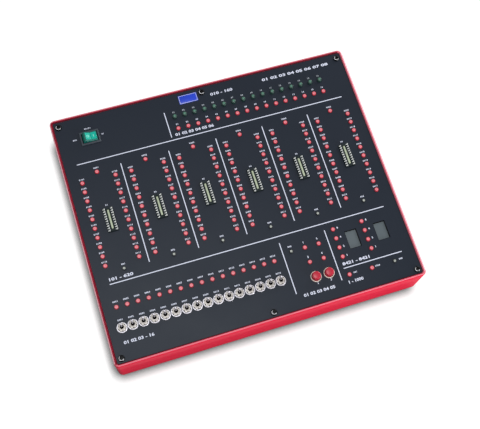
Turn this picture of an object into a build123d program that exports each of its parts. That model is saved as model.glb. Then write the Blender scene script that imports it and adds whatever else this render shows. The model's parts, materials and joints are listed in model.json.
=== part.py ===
from build123d import *
import os
from math import cos, radians, sin, tan

# Electronics training console: a shallow red tray closed by a dark control panel.
# The panel carries test jacks, lamps, chip sockets, toggle switches, push buttons,
# two digit displays and a mains rocker. Millimetres, +Z up, origin under the centre.

os.makedirs("parts", exist_ok=True)

# Tray
case_length = 321.0
case_depth = 265.0
case_height = 48.0
case_wall = 3.0
case_floor = 3.0
case_corner_radius = 5.0
case_bottom_chamfer = 1.0
rim_chamfer = 1.0
panel_recess = 1.3
ledge_width = 2.0
ledge_height = 2.5

# Feet
foot_height = 4.0
foot_diameter = 14.0
foot_inset = 19.0
foot_sides = 16

# Panel
panel_thickness = 2.0
panel_gap = 0.25

# Panel screws: three along the back edge, three along the front edge
screw_edge_x = 8.2
screw_edge_back = 9.3
screw_edge_front = 7.7
screw_head_diameter = 6.4
screw_head_height = 2.0
screw_shank_diameter = 3.0
screw_length = 12.0
screw_hole_clearance = 0.4
screw_socket_flats = 3.0
screw_socket_depth = 1.4
screw_sides = 12
post_flats = 5.0
post_bore_depth = 16.0

# Vent slots in the floor, under the transformer
vent_count = 8
vent_width = 3.0
vent_length = 44.0
vent_pitch = 7.0

# Test jacks
jack_diameter = 4.6
jack_height = 1.3
jack_sides = 6
jack_row_pitch = 10.0

# Chip section: six groups, each with two jack columns round a 20 way socket
group_count = 6
group_left_margin = 16.5
group_right_margin = 18.5
group_column_gap = 34.0
group_rows = 10
group_top_y = 57.5
supply_jack_rise = 8.3
ground_jack_drop = 7.6

# Chip sockets
socket_length = 25.4
socket_width = 10.16
socket_stand_out = 2.0
socket_row_spacing = 7.62
socket_pin_pitch = 2.54
socket_rows = 10
pin_slot_width = 1.7
pin_slot_length = 1.3
pin_slot_depth = 3.0
socket_window_width = 3.0
socket_window_length = 21.0
socket_gap = 0.2

# Lamp section: sixteen lamps over sixteen jacks
channel_count = 16
channel_pitch = 10.7
lamp_right_margin = 34.8
lamp_back_margin = 29.1
lamp_jack_drop = 13.7
lamp_diameter = 5.0
lamp_flange_diameter = 5.9
lamp_flange_height = 1.0
lamp_length = 8.6
lamp_stand_out = 3.2
lamp_shoulder = 1.4
lamp_sides = 6
lamp_gap = 0.15

# Data switch section: sixteen toggles under sixteen jacks
toggle_left_margin = 16.3
toggle_front_margin = 36.1
toggle_jack_rise = 21.0
toggle_body_width = 7.9
toggle_body_length = 13.2
toggle_body_height = 9.5
toggle_pocket_depth = 4.0
toggle_terminal_width = 2.0
toggle_terminal_thickness = 0.8
toggle_terminal_length = 4.0
toggle_terminal_pitch = 4.7
bushing_diameter = 6.0
bushing_bore = 4.6
bushing_proud = 0.6
bushing_sides = 6
washer_diameter = 10.4
washer_thickness = 0.8
washer_sides = 8
nut_flats = 8.0
nut_thickness = 2.0
thread_gap = 0.12
lever_throw = 7.0
lever_pivot_depth = 6.2
lever_ball_radius = 2.1
lever_ball_half_height = 0.8
lever_flare = 0.5
lever_tip_radius = 1.3
lever_length = 15.3
lever_end_round = 0.6
lever_taper_length = 9.0
lever_sides = 6

# Pulse section: one ground jack, four jacks and two push buttons
pulse_column_x = (50.3, 65.0)
pulse_row_rise = (31.9, 16.1)
pulse_ground_x = 35.8
button_first_x = 51.3
button_pitch = 13.8
button_front_margin = 30.0
button_cap_diameter = 9.2
button_cap_height = 6.2
button_cap_chamfer = 0.8
button_travel = 2.5
button_ring_diameter = 11.0
button_ring_bore = 9.5
button_ring_height = 1.6
button_barrel_diameter = 10.4
button_body_size = 13.0
button_body_height = 8.0
button_stem_diameter = 3.0
button_stem_gap = 0.3
button_sides = 16

# Digit display section
digit_jack_right_margins = (76.6, 45.5)
digit_jack_rows = 4
digit_offset_x = 16.7
digit_front_margin = 56.9
digit_width = 12.6
digit_length = 19.0
digit_height = 8.0
digit_recess = 1.5
digit_gap = 0.1

# Clock section
clock_jack_right_margins = (76.2, 52.0)
clock_ground_right_margin = 27.2
clock_front_margin = 22.4

# Rocker switch
rocker_left_margin = 36.3
rocker_back_margin = 28.1
bezel_length = 20.0
bezel_width = 15.0
bezel_height = 1.6
bezel_chamfer = 0.5
housing_length = 18.8
housing_width = 13.0
housing_depth = 14.0
housing_gap = 0.15
well_length = 16.6
well_width = 11.0
well_depth = 12.0
rocker_length = 11.7
rocker_width = 10.4
rocker_throw = 14.0
rocker_crown = 3.5
rocker_skirt = 3.0
rocker_proud = 1.5
rocker_side_chamfer = 0.9
trunnion_diameter = 2.4
trunnion_length = 0.9
trunnion_gap = 0.05
trunnion_sides = 8
blade_width = 4.8
blade_thickness = 0.8
blade_length = 7.5
blade_pitch = 7.0

# Boards
board_thickness = 1.6
main_board_margin_x = 13.0
main_board_front_reach = 11.5
main_board_back_reach = 7.6
main_board_step_back = 28.4
main_board_step_side = 72.2
digit_board_margin = 10.0
digit_board_front_reach = 23.0
board_edge_gap = 8.6
spacer_flats = 5.5
spacer_inset = 5.0

# Mains transformer
core_length = 48.0
core_depth = 22.0
core_headroom = 3.5
winding_depth = 36.0
winding_gap = 0.2
transformer_x = -30.0
transformer_back_margin = 64.5
bracket_thickness = 1.2
bracket_reach = 9.0

# Power board
power_board_length = 84.0
power_board_width = 52.0
power_board_right_margin = 88.5
power_board_back_margin = 54.5
power_post_height = 6.0
power_post_inset = 5.0
capacitor_diameter = 16.0
capacitor_height = 22.0
capacitor_pitch = 20.0
capacitor_sides = 16
heat_sink_length = 30.0
heat_sink_depth = 12.0
heat_sink_height = 20.0
heat_sink_base = 2.5
heat_sink_fin = 1.6
heat_sink_fins = 5
regulator_width = 10.0
regulator_height = 15.0
regulator_thickness = 4.4
rectifier_length = 19.0
rectifier_thickness = 4.6
rectifier_height = 14.0

# Mains inlet, screwed in a shallow bay of the rear wall
inlet_left_margin = 72.5
inlet_z = 27.0
bay_depth = 5.0
bay_length = 60.0
bay_height = 30.0
bay_wall = 2.4
inlet_flange_length = 48.0
inlet_flange_height = 22.6
inlet_flange_thickness = 2.6
inlet_flange_chamfer = 3.0
inlet_body_length = 27.4
inlet_body_height = 20.0
inlet_body_depth = 18.0
inlet_cavity_length = 24.0
inlet_cavity_height = 16.4
inlet_cavity_depth = 16.4
inlet_corner_cut = 4.4
inlet_gap = 0.2
inlet_screw_pitch = 40.0
inlet_screw_head = 5.4
inlet_screw_head_height = 1.6
inlet_screw_length = 8.0
inlet_pin_width = 2.0
inlet_pin_height = 4.0
inlet_pin_length = 14.0
inlet_pin_pitch = 14.0
inlet_pin_offset = 4.0
inlet_tail_length = 8.0

# Levels worked out from the sizes above
rim_z = foot_height + case_height
panel_top = rim_z - panel_recess
panel_under = panel_top - panel_thickness
floor_top = foot_height + case_floor
socket_board_top = panel_top + lamp_stand_out - lamp_length
core_room = socket_board_top - board_thickness - floor_top - bracket_thickness
core_height = core_room - core_headroom
inner_length = case_length - 2 * case_wall
inner_depth = case_depth - 2 * case_wall
inner_radius = case_corner_radius - case_wall
panel_length = inner_length - 2 * panel_gap
panel_depth = inner_depth - 2 * panel_gap
rear_y = case_depth / 2
bay_back_y = rear_y - bay_depth
screw_x = case_length / 2 - screw_edge_x
screw_rows = (screw_edge_front - case_depth / 2, case_depth / 2 - screw_edge_back)
screw_spots = [(x, y) for x in (-screw_x, 0, screw_x) for y in screw_rows]
foot_x = case_length / 2 - foot_inset
foot_y = case_depth / 2 - foot_inset
foot_spots = [(x, y) for x in (-foot_x, foot_x) for y in (-foot_y, foot_y)]
shank_hole_diameter = screw_shank_diameter + screw_hole_clearance

# Places that follow the edges of the case
left_x = -case_length / 2
right_x = case_length / 2
front_y = -case_depth / 2
group_first_x = left_x + group_left_margin
group_reach = case_length - group_left_margin - group_right_margin
group_pitch = (group_reach - group_column_gap) / (group_count - 1)
lamp_first_x = right_x - lamp_right_margin - (channel_count - 1) * channel_pitch
lamp_y = rear_y - lamp_back_margin
lamp_jack_y = lamp_y - lamp_jack_drop
toggle_first_x = left_x + toggle_left_margin
toggle_y = front_y + toggle_front_margin
toggle_jack_y = toggle_y + toggle_jack_rise
button_y = front_y + button_front_margin
pulse_row_y = [button_y + rise for rise in pulse_row_rise]
digit_jack_x = [right_x - margin for margin in digit_jack_right_margins]
digit_y = front_y + digit_front_margin
digit_jack_top_y = digit_y + (digit_jack_rows - 1) / 2 * jack_row_pitch
clock_jack_x = [right_x - margin for margin in clock_jack_right_margins]
clock_ground_x = right_x - clock_ground_right_margin
clock_y = front_y + clock_front_margin
rocker_x = left_x + rocker_left_margin
rocker_y = rear_y - rocker_back_margin
transformer_y = rear_y - transformer_back_margin
power_board_x = right_x - power_board_right_margin
power_board_y = rear_y - power_board_back_margin
inlet_x = left_x + inlet_left_margin

# Places of what repeats
group_x = [group_first_x + i * group_pitch for i in range(group_count)]
group_bottom_y = group_top_y - (group_rows - 1) * jack_row_pitch
socket_y = (group_top_y + group_bottom_y) / 2
lamp_x = [lamp_first_x + i * channel_pitch for i in range(channel_count)]
toggle_x = [toggle_first_x + i * channel_pitch for i in range(channel_count)]
button_x = [button_first_x, button_first_x + button_pitch]
digit_x = [x + digit_offset_x for x in digit_jack_x]

red_spots = []
ground_spots = []
for left in group_x:
    for row in range(group_rows):
        y = group_top_y - row * jack_row_pitch
        red_spots += [(left, y), (left + group_column_gap, y)]
    middle = left + group_column_gap / 2
    red_spots.append((middle, group_top_y + supply_jack_rise))
    ground_spots.append((middle, group_bottom_y - ground_jack_drop))
red_spots += [(x, lamp_jack_y) for x in lamp_x]
red_spots += [(x, toggle_jack_y) for x in toggle_x]
red_spots += [(x, y) for x in pulse_column_x for y in pulse_row_y]
digit_jack_y = [digit_jack_top_y - row * jack_row_pitch for row in range(digit_jack_rows)]
red_spots += [(x, y) for x in digit_jack_x for y in digit_jack_y]
red_spots += [(x, clock_y) for x in clock_jack_x]
ground_spots += [(pulse_ground_x, pulse_row_y[0]), (clock_ground_x, clock_y)]
socket_spots = [(left + group_column_gap / 2, socket_y) for left in group_x]


def save(piece, name):
    piece.part.label = name
    export_step(piece.part, f"parts/{name}.step")


def flats_up(sides):
    # turn that puts a flat of an even polygon square to the Y axis
    return 90 - 180 / sides if sides % 4 else 180 / sides


# Tray: walls, floor, a ledge for the panel, vents and rear cut-outs
with BuildPart() as lower_case:
    with BuildSketch(Plane.XY.offset(foot_height)):
        RectangleRounded(case_length, case_depth, case_corner_radius)
    extrude(amount=case_height)
    chamfer(lower_case.edges().group_by(Axis.Z)[0], case_bottom_chamfer)
    with BuildSketch(Plane.XY.offset(floor_top)):
        RectangleRounded(inner_length - 2 * ledge_width, inner_depth - 2 * ledge_width, inner_radius)
    extrude(amount=case_height, mode=Mode.SUBTRACT)
    with BuildSketch(Plane.XY.offset(panel_under)):
        RectangleRounded(inner_length, inner_depth, inner_radius)
    extrude(amount=case_height, mode=Mode.SUBTRACT)
    with BuildSketch(Plane.XY.offset(floor_top)):
        RectangleRounded(inner_length, inner_depth, inner_radius)
    extrude(amount=panel_under - ledge_height - floor_top, mode=Mode.SUBTRACT)
    mouth = lower_case.edges().group_by(Axis.Z)[-1].sort_by(lambda e: e.center().length)
    inner_mouth = [e for e in mouth if abs(e.center().X) < inner_length / 2 + 0.1
                   and abs(e.center().Y) < inner_depth / 2 + 0.1]
    chamfer(inner_mouth, rim_chamfer)
    with BuildSketch(Plane.XY.offset(foot_height)):
        with Locations((transformer_x, transformer_y)):
            with GridLocations(vent_pitch, 0, vent_count, 1):
                Rectangle(vent_width, vent_length)
    extrude(amount=case_floor, mode=Mode.SUBTRACT)
    with BuildSketch(Plane.XZ.offset(-(rear_y - case_wall))):
        with Locations((inlet_x, inlet_z)):
            Rectangle(bay_length + 2 * bay_wall, bay_height + 2 * bay_wall)
    extrude(amount=bay_depth + bay_wall - case_wall)
    with BuildSketch(Plane.XZ.offset(-rear_y)):
        with Locations((inlet_x, inlet_z)):
            Rectangle(bay_length, bay_height)
    extrude(amount=bay_depth, mode=Mode.SUBTRACT)
    with BuildSketch(Plane.XZ.offset(-bay_back_y)):
        with Locations((inlet_x, inlet_z)):
            Rectangle(inlet_body_length + 2 * inlet_gap, inlet_body_height + 2 * inlet_gap)
            with GridLocations(inlet_screw_pitch, 0, 2, 1):
                RegularPolygon(shank_hole_diameter / 2, screw_sides // 2)
    extrude(amount=bay_wall, mode=Mode.SUBTRACT)
save(lower_case, "lower_case")

with BuildPart() as rubber_feet:
    with BuildSketch(Plane.XY):
        with Locations(*foot_spots):
            RegularPolygon(foot_diameter / 2, foot_sides)
    extrude(amount=foot_height)
save(rubber_feet, "rubber_feet")

# Hex posts that stand on the floor under the panel's screws
with BuildPart() as panel_posts:
    with BuildSketch(Plane.XY.offset(floor_top)):
        with Locations(*screw_spots):
            RegularPolygon(post_flats / 2, 6, major_radius=False)
    extrude(amount=panel_under - floor_top)
    with BuildSketch(Plane.XY.offset(panel_under)):
        with Locations(*screw_spots):
            RegularPolygon(shank_hole_diameter / 2, screw_sides // 2)
    extrude(amount=-post_bore_depth, mode=Mode.SUBTRACT)
save(panel_posts, "panel_posts")

# Panel with every opening that a part passes through
with BuildPart() as front_panel:
    with BuildSketch(Plane.XY.offset(panel_under)):
        RectangleRounded(panel_length, panel_depth, inner_radius - panel_gap)
        with Locations((rocker_x, rocker_y)):
            Rectangle(housing_length + 2 * housing_gap, housing_width + 2 * housing_gap, mode=Mode.SUBTRACT)
        with Locations(*[(x, lamp_y) for x in lamp_x]):
            RegularPolygon(lamp_diameter / 2 + lamp_gap, lamp_sides, rotation=flats_up(lamp_sides),
                           mode=Mode.SUBTRACT)
        with Locations(*socket_spots):
            Rectangle(socket_width + 2 * socket_gap, socket_length + 2 * socket_gap, mode=Mode.SUBTRACT)
        with Locations(*[(x, toggle_y) for x in toggle_x]):
            RegularPolygon(bushing_diameter / 2 + thread_gap, bushing_sides, rotation=flats_up(bushing_sides),
                           mode=Mode.SUBTRACT)
        with Locations(*[(x, button_y) for x in button_x]):
            RegularPolygon(button_barrel_diameter / 2 + thread_gap, button_sides, mode=Mode.SUBTRACT)
        with Locations(*[(x, digit_y) for x in digit_x]):
            Rectangle(digit_width + 2 * digit_gap, digit_length + 2 * digit_gap, mode=Mode.SUBTRACT)
        with Locations(*screw_spots):
            RegularPolygon(shank_hole_diameter / 2, screw_sides // 2, mode=Mode.SUBTRACT)
    extrude(amount=panel_thickness)
save(front_panel, "front_panel")

with BuildPart() as panel_screws:
    with BuildSketch(Plane.XY.offset(panel_top)):
        with Locations(*screw_spots):
            RegularPolygon(screw_head_diameter / 2, screw_sides)
    extrude(amount=screw_head_height)
    with BuildSketch(Plane.XY.offset(panel_top + screw_head_height)):
        with Locations(*screw_spots):
            RegularPolygon(screw_socket_flats / 2, 6, major_radius=False)
    extrude(amount=-screw_socket_depth, mode=Mode.SUBTRACT)
    with BuildSketch(Plane.XY.offset(panel_top)):
        with Locations(*screw_spots):
            RegularPolygon(screw_shank_diameter / 2, screw_sides // 2)
    extrude(amount=-screw_length)
save(panel_screws, "panel_screws")


# Test jacks: a coloured collar seated on the panel at each spot
def jack_set(spots):
    with BuildPart() as jacks:
        with BuildSketch(Plane.XY.offset(panel_top)):
            with Locations(*spots):
                RegularPolygon(jack_diameter / 2, jack_sides)
        extrude(amount=jack_height)
    return jacks


save(jack_set(red_spots), "red_jacks")
save(jack_set(ground_spots), "ground_jacks")

# Chip sockets: twenty pin slots in two rows round an open middle
socket_height = panel_top + socket_stand_out - socket_board_top
with BuildPart() as ic_sockets:
    with BuildSketch(Plane.XY.offset(socket_board_top)):
        with Locations(*socket_spots):
            Rectangle(socket_width, socket_length)
    extrude(amount=socket_height)
    with BuildSketch(Plane.XY.offset(socket_board_top + socket_height)):
        with Locations(*socket_spots):
            with GridLocations(socket_row_spacing, socket_pin_pitch, 2, socket_rows):
                Rectangle(pin_slot_width, pin_slot_length)
    extrude(amount=-pin_slot_depth, mode=Mode.SUBTRACT)
    with BuildSketch(Plane.XY.offset(socket_board_top)):
        with Locations(*socket_spots):
            Rectangle(socket_window_width, socket_window_length)
    extrude(amount=socket_height, mode=Mode.SUBTRACT)
save(ic_sockets, "ic_sockets")

# Lamps: flange on the board, body through the panel, a stepped crown
with BuildPart() as indicator_lamps:
    spots = [(x, lamp_y) for x in lamp_x]
    with BuildSketch(Plane.XY.offset(socket_board_top)):
        with Locations(*spots):
            RegularPolygon(lamp_flange_diameter / 2, lamp_sides, rotation=flats_up(lamp_sides))
    extrude(amount=lamp_flange_height)
    with BuildSketch(Plane.XY.offset(socket_board_top)):
        with Locations(*spots):
            RegularPolygon(lamp_diameter / 2, lamp_sides, rotation=flats_up(lamp_sides))
    extrude(amount=panel_top + lamp_stand_out - socket_board_top)
    chamfer(indicator_lamps.edges().group_by(Axis.Z)[-1], lamp_shoulder)
save(indicator_lamps, "indicator_lamps")

# Toggle switches
toggle_spots = [(x, toggle_y) for x in toggle_x]
washer_top = panel_top + washer_thickness
nut_top = washer_top + nut_thickness
bushing_top = nut_top + bushing_proud
bushing_foot = panel_under - toggle_pocket_depth
lever_pivot_z = bushing_top - lever_pivot_depth

with BuildPart() as toggle_bodies:
    with BuildSketch(Plane.XY.offset(panel_under - toggle_body_height)):
        with Locations(*toggle_spots):
            Rectangle(toggle_body_width, toggle_body_length)
    extrude(amount=toggle_body_height)
    with BuildSketch(Plane.XY.offset(bushing_foot)):
        with Locations(*toggle_spots):
            Rectangle(bushing_diameter + 2 * thread_gap, bushing_diameter + 2 * thread_gap)
    extrude(amount=toggle_pocket_depth, mode=Mode.SUBTRACT)
save(toggle_bodies, "toggle_bodies")

with BuildPart() as toggle_terminals:
    with BuildSketch(Plane.XY.offset(panel_under - toggle_body_height)):
        with Locations(*toggle_spots):
            with GridLocations(0, toggle_terminal_pitch, 1, 3):
                Rectangle(toggle_terminal_width, toggle_terminal_thickness)
    extrude(amount=-toggle_terminal_length)
save(toggle_terminals, "toggle_terminals")

with BuildPart() as toggle_bushings:
    with BuildSketch(Plane.XY.offset(bushing_foot)):
        with Locations(*toggle_spots):
            RegularPolygon(bushing_diameter / 2, bushing_sides, rotation=flats_up(bushing_sides))
            RegularPolygon(bushing_bore / 2, bushing_sides, major_radius=False,
                           rotation=flats_up(bushing_sides), mode=Mode.SUBTRACT)
    extrude(amount=bushing_top - bushing_foot)
save(toggle_bushings, "toggle_bushings")

with BuildPart() as toggle_washers:
    with BuildSketch(Plane.XY.offset(panel_top)):
        with Locations(*toggle_spots):
            RegularPolygon(washer_diameter / 2, washer_sides)
            RegularPolygon(bushing_diameter / 2 + thread_gap, bushing_sides, rotation=flats_up(bushing_sides),
                           mode=Mode.SUBTRACT)
    extrude(amount=washer_thickness)
save(toggle_washers, "toggle_washers")

with BuildPart() as toggle_nuts:
    with BuildSketch(Plane.XY.offset(washer_top)):
        with Locations(*toggle_spots):
            RegularPolygon(nut_flats / 2, 6, major_radius=False)
            RegularPolygon(bushing_diameter / 2 + thread_gap, bushing_sides, rotation=flats_up(bushing_sides),
                           mode=Mode.SUBTRACT)
    extrude(amount=nut_thickness)
save(toggle_nuts, "toggle_nuts")

# Levers: a ball in the bushing, a thin neck and a thicker rounded tip, tipped to the back
for number, x in enumerate(toggle_x, start=1):
    up = (0, sin(radians(lever_throw)), cos(radians(lever_throw)))
    tilted = Plane(origin=(x, toggle_y, lever_pivot_z), x_dir=(1, 0, 0), z_dir=up)
    with BuildPart() as toggle_lever:
        with BuildSketch(tilted.offset(lever_ball_half_height)):
            RegularPolygon(lever_tip_radius, lever_sides, rotation=flats_up(lever_sides))
        extrude(amount=lever_length - lever_ball_half_height)
        along = toggle_lever.faces().sort_by(Axis(tilted.origin, tilted.z_dir))
        chamfer(along[0].edges(), length=lever_flare * cos(radians(180 / lever_sides)),
                length2=lever_taper_length, reference=along[0])
        chamfer(toggle_lever.faces().sort_by(Axis(tilted.origin, tilted.z_dir))[-1].edges(), lever_end_round)
        with BuildSketch(tilted.offset(-lever_ball_half_height)):
            RegularPolygon(lever_ball_radius, lever_sides, rotation=flats_up(lever_sides))
        extrude(amount=2 * lever_ball_half_height)
    save(toggle_lever, f"toggle_lever_{number:02d}")

# Push buttons: a barrel with its rim on the panel, a box under it and a sprung cap
button_spots = [(x, button_y) for x in button_x]
with BuildPart() as button_barrels:
    with BuildSketch(Plane.XY.offset(panel_under)):
        with Locations(*button_spots):
            Rectangle(button_body_size, button_body_size)
    extrude(amount=-button_body_height)
    with BuildSketch(Plane.XY.offset(panel_under)):
        with Locations(*button_spots):
            RegularPolygon(button_barrel_diameter / 2, button_sides)
    extrude(amount=panel_thickness)
    with BuildSketch(Plane.XY.offset(panel_under - button_body_height)):
        with Locations(*button_spots):
            RegularPolygon(button_stem_diameter / 2 + button_stem_gap, 8)
    extrude(amount=button_body_height + panel_thickness, mode=Mode.SUBTRACT)
    with BuildSketch(Plane.XY.offset(panel_top - button_travel - 1.0)):
        with Locations(*button_spots):
            RegularPolygon(button_ring_bore / 2, button_sides)
    extrude(amount=button_travel + 1.0, mode=Mode.SUBTRACT)
save(button_barrels, "button_barrels")

with BuildPart() as button_rings:
    with BuildSketch(Plane.XY.offset(panel_top)):
        with Locations(*button_spots):
            RegularPolygon(button_ring_diameter / 2, button_sides)
            RegularPolygon(button_ring_bore / 2, button_sides, mode=Mode.SUBTRACT)
    extrude(amount=button_ring_height)
save(button_rings, "button_rings")

for letter, x in zip("ab", button_x):
    with BuildPart() as button_cap:
        with BuildSketch(Plane.XY.offset(panel_top)):
            with Locations((x, button_y)):
                RegularPolygon(button_cap_diameter / 2, button_sides)
        extrude(amount=button_cap_height)
        chamfer(button_cap.edges().group_by(Axis.Z)[-1], button_cap_chamfer)
        with BuildSketch(Plane.XY.offset(panel_top)):
            with Locations((x, button_y)):
                RegularPolygon(button_stem_diameter / 2, 8)
        extrude(amount=-(panel_thickness + button_body_height))
    save(button_cap, f"pulse_button_{letter}")

# Digit displays, set back behind the panel on a board of their own
digit_top = panel_top - digit_recess
digit_board_top = digit_top - digit_height
with BuildPart() as digit_displays:
    with BuildSketch(Plane.XY.offset(digit_board_top)):
        with Locations(*[(x, digit_y) for x in digit_x]):
            Rectangle(digit_width, digit_length)
    extrude(amount=digit_height)
save(digit_displays, "digit_displays")

main_board_front = group_bottom_y - main_board_front_reach
digit_board_back = main_board_front - board_edge_gap
digit_board_front = digit_y - digit_board_front_reach
digit_board_left = digit_x[0] - digit_width / 2 - digit_board_margin
digit_board_right = digit_x[-1] + digit_width / 2 + digit_board_margin
with BuildPart() as digit_board:
    with BuildSketch(Plane.XY.offset(digit_board_top)):
        with Locations((digit_board_left, digit_board_front)):
            Rectangle(digit_board_right - digit_board_left, digit_board_back - digit_board_front,
                      align=Align.MIN)
    extrude(amount=-board_thickness)
save(digit_board, "digit_board")

# Main board under the lamp and chip sections, stepped back to clear the rocker switch
board_side = inner_length / 2 - main_board_margin_x
main_board_back = lamp_y + main_board_back_reach
step_y = rocker_y - main_board_step_back
step_x = rocker_x + main_board_step_side
with BuildPart() as main_board:
    with BuildSketch(Plane.XY.offset(socket_board_top)):
        with BuildLine():
            Polyline((-board_side, main_board_front), (board_side, main_board_front),
                     (board_side, main_board_back), (step_x, main_board_back),
                     (step_x, step_y), (-board_side, step_y), close=True)
        make_face()
    extrude(amount=-board_thickness)
save(main_board, "main_board")

main_spacer_y = (main_board_front + spacer_inset, step_y - spacer_inset)
main_spacer_x = (-board_side + spacer_inset, group_x[3] - (group_pitch - group_column_gap) / 2,
                 board_side - spacer_inset)
digit_spacer_x = (digit_board_left + spacer_inset, digit_board_right - spacer_inset)
digit_spacer_y = (digit_board_front + spacer_inset, digit_board_back - spacer_inset)
with BuildPart() as board_spacers:
    with BuildSketch(Plane.XY.offset(panel_under)):
        with Locations(*[(x, y) for x in main_spacer_x for y in main_spacer_y]):
            RegularPolygon(spacer_flats / 2, 6, major_radius=False)
    extrude(amount=socket_board_top - panel_under)
    with BuildSketch(Plane.XY.offset(panel_under)):
        with Locations(*[(x, y) for x in digit_spacer_x for y in digit_spacer_y]):
            RegularPolygon(spacer_flats / 2, 6, major_radius=False)
    extrude(amount=digit_board_top - panel_under)
save(board_spacers, "board_spacers")

# Rocker switch: a housing clipped in the panel, with a well that the rocker tips in
bezel_top = panel_top + bezel_height
rocker_pivot_z = bezel_top + rocker_proud - rocker_crown * cos(radians(rocker_throw))
with BuildPart() as rocker_housing:
    with BuildSketch(Plane.XY.offset(panel_top)):
        with Locations((rocker_x, rocker_y)):
            Rectangle(bezel_length, bezel_width)
    extrude(amount=bezel_height)
    chamfer(rocker_housing.edges().group_by(Axis.Z)[-1], bezel_chamfer)
    with BuildSketch(Plane.XY.offset(panel_top)):
        with Locations((rocker_x, rocker_y)):
            Rectangle(housing_length, housing_width)
    extrude(amount=-housing_depth)
    with BuildSketch(Plane.XY.offset(bezel_top)):
        with Locations((rocker_x, rocker_y)):
            Rectangle(well_length, well_width)
    extrude(amount=-well_depth, mode=Mode.SUBTRACT)
    with BuildSketch(Plane.XZ.offset(-rocker_y)):
        with Locations((rocker_x, rocker_pivot_z)):
            RegularPolygon(trunnion_diameter / 2 + trunnion_gap, trunnion_sides, major_radius=False)
    extrude(amount=rocker_width / 2 + trunnion_length, both=True, mode=Mode.SUBTRACT)
save(rocker_housing, "rocker_housing")

rocker_end = rocker_length / 2
rocker_peak = rocker_crown + rocker_end * tan(radians(rocker_throw))
rocker_radius = (rocker_end ** 2 + rocker_peak ** 2) ** 0.5
skirt_end = (rocker_radius ** 2 - rocker_skirt ** 2) ** 0.5
rocker_plane = Plane(origin=(rocker_x, rocker_y, rocker_pivot_z),
                     x_dir=(cos(radians(rocker_throw)), 0, -sin(radians(rocker_throw))), z_dir=(0, -1, 0))
with BuildPart() as power_rocker:
    with BuildSketch(rocker_plane):
        with BuildLine():
            Polyline((rocker_end, rocker_peak), (0, rocker_crown), (-rocker_end, rocker_peak))
            ThreePointArc((-rocker_end, rocker_peak), (-rocker_radius, 0), (-skirt_end, -rocker_skirt))
            Line((-skirt_end, -rocker_skirt), (skirt_end, -rocker_skirt))
            ThreePointArc((skirt_end, -rocker_skirt), (rocker_radius, 0), (rocker_end, rocker_peak))
        make_face()
    extrude(amount=rocker_width / 2, both=True)
    top_faces = power_rocker.faces().sort_by(Axis(rocker_plane.origin, rocker_plane.y_dir))[-2:]
    side_edges = [e for face in top_faces for e in face.edges() if abs(e.center().Y - rocker_y) > 0.1]
    chamfer(side_edges, rocker_side_chamfer)
    with BuildSketch(rocker_plane):
        RegularPolygon(trunnion_diameter / 2, trunnion_sides)
    extrude(amount=rocker_width / 2 + trunnion_length - trunnion_gap, both=True)
save(power_rocker, "power_rocker")

with BuildPart() as rocker_blades:
    with BuildSketch(Plane.XY.offset(panel_top - housing_depth)):
        with Locations((rocker_x, rocker_y)):
            with GridLocations(blade_pitch, 0, 2, 1):
                Rectangle(blade_thickness, blade_width)
    extrude(amount=-blade_length)
save(rocker_blades, "rocker_blades")

# Mains transformer: a laminated core, its winding through both windows and a strap
core_window = (core_length - core_height / 2) / 4
with BuildPart() as transformer_core:
    with BuildSketch(Plane.XZ.offset(-(transformer_y + core_depth / 2))):
        with Locations((transformer_x, floor_top + bracket_thickness + core_height / 2)):
            Rectangle(core_length, core_height)
            with GridLocations(core_length / 2, 0, 2, 1):
                Rectangle(core_window, core_height / 2, mode=Mode.SUBTRACT)
    extrude(amount=core_depth)
save(transformer_core, "transformer_core")

with BuildPart() as transformer_bracket:
    with BuildSketch(Plane.XY.offset(floor_top)):
        with Locations((transformer_x, transformer_y)):
            Rectangle(core_length + 2 * bracket_reach, core_depth)
    extrude(amount=bracket_thickness)
save(transformer_bracket, "transformer_bracket")

winding_z = floor_top + bracket_thickness + core_height / 4 + winding_gap
leg_width = core_length / 2 - core_window
with BuildPart() as transformer_winding:
    with BuildSketch(Plane.XY.offset(winding_z)):
        with Locations((transformer_x, transformer_y)):
            Rectangle(leg_width + 2 * (core_window - winding_gap), winding_depth)
            Rectangle(leg_width + 2 * winding_gap, core_depth + 2 * winding_gap, mode=Mode.SUBTRACT)
    extrude(amount=core_height / 2 - 2 * winding_gap)
save(transformer_winding, "transformer_winding")

# Power board on four posts, with its rectifier, capacitors and cooled regulator
power_board_z = floor_top + power_post_height
power_top = power_board_z + board_thickness
with BuildPart() as power_posts:
    with BuildSketch(Plane.XY.offset(floor_top)):
        with Locations((power_board_x, power_board_y)):
            with GridLocations(power_board_length - 2 * power_post_inset,
                               power_board_width - 2 * power_post_inset, 2, 2):
                RegularPolygon(spacer_flats / 2, 6, major_radius=False)
    extrude(amount=power_post_height)
save(power_posts, "power_posts")

with BuildPart() as power_board:
    with BuildSketch(Plane.XY.offset(power_board_z)):
        with Locations((power_board_x, power_board_y)):
            Rectangle(power_board_length, power_board_width)
    extrude(amount=board_thickness)
save(power_board, "power_board")

with BuildPart() as capacitors:
    with BuildSketch(Plane.XY.offset(power_top)):
        with Locations((power_board_x, power_board_y - power_board_width / 4)):
            with GridLocations(capacitor_pitch, 0, 2, 1):
                RegularPolygon(capacitor_diameter / 2, capacitor_sides)
    extrude(amount=capacitor_height)
save(capacitors, "capacitors")

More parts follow.
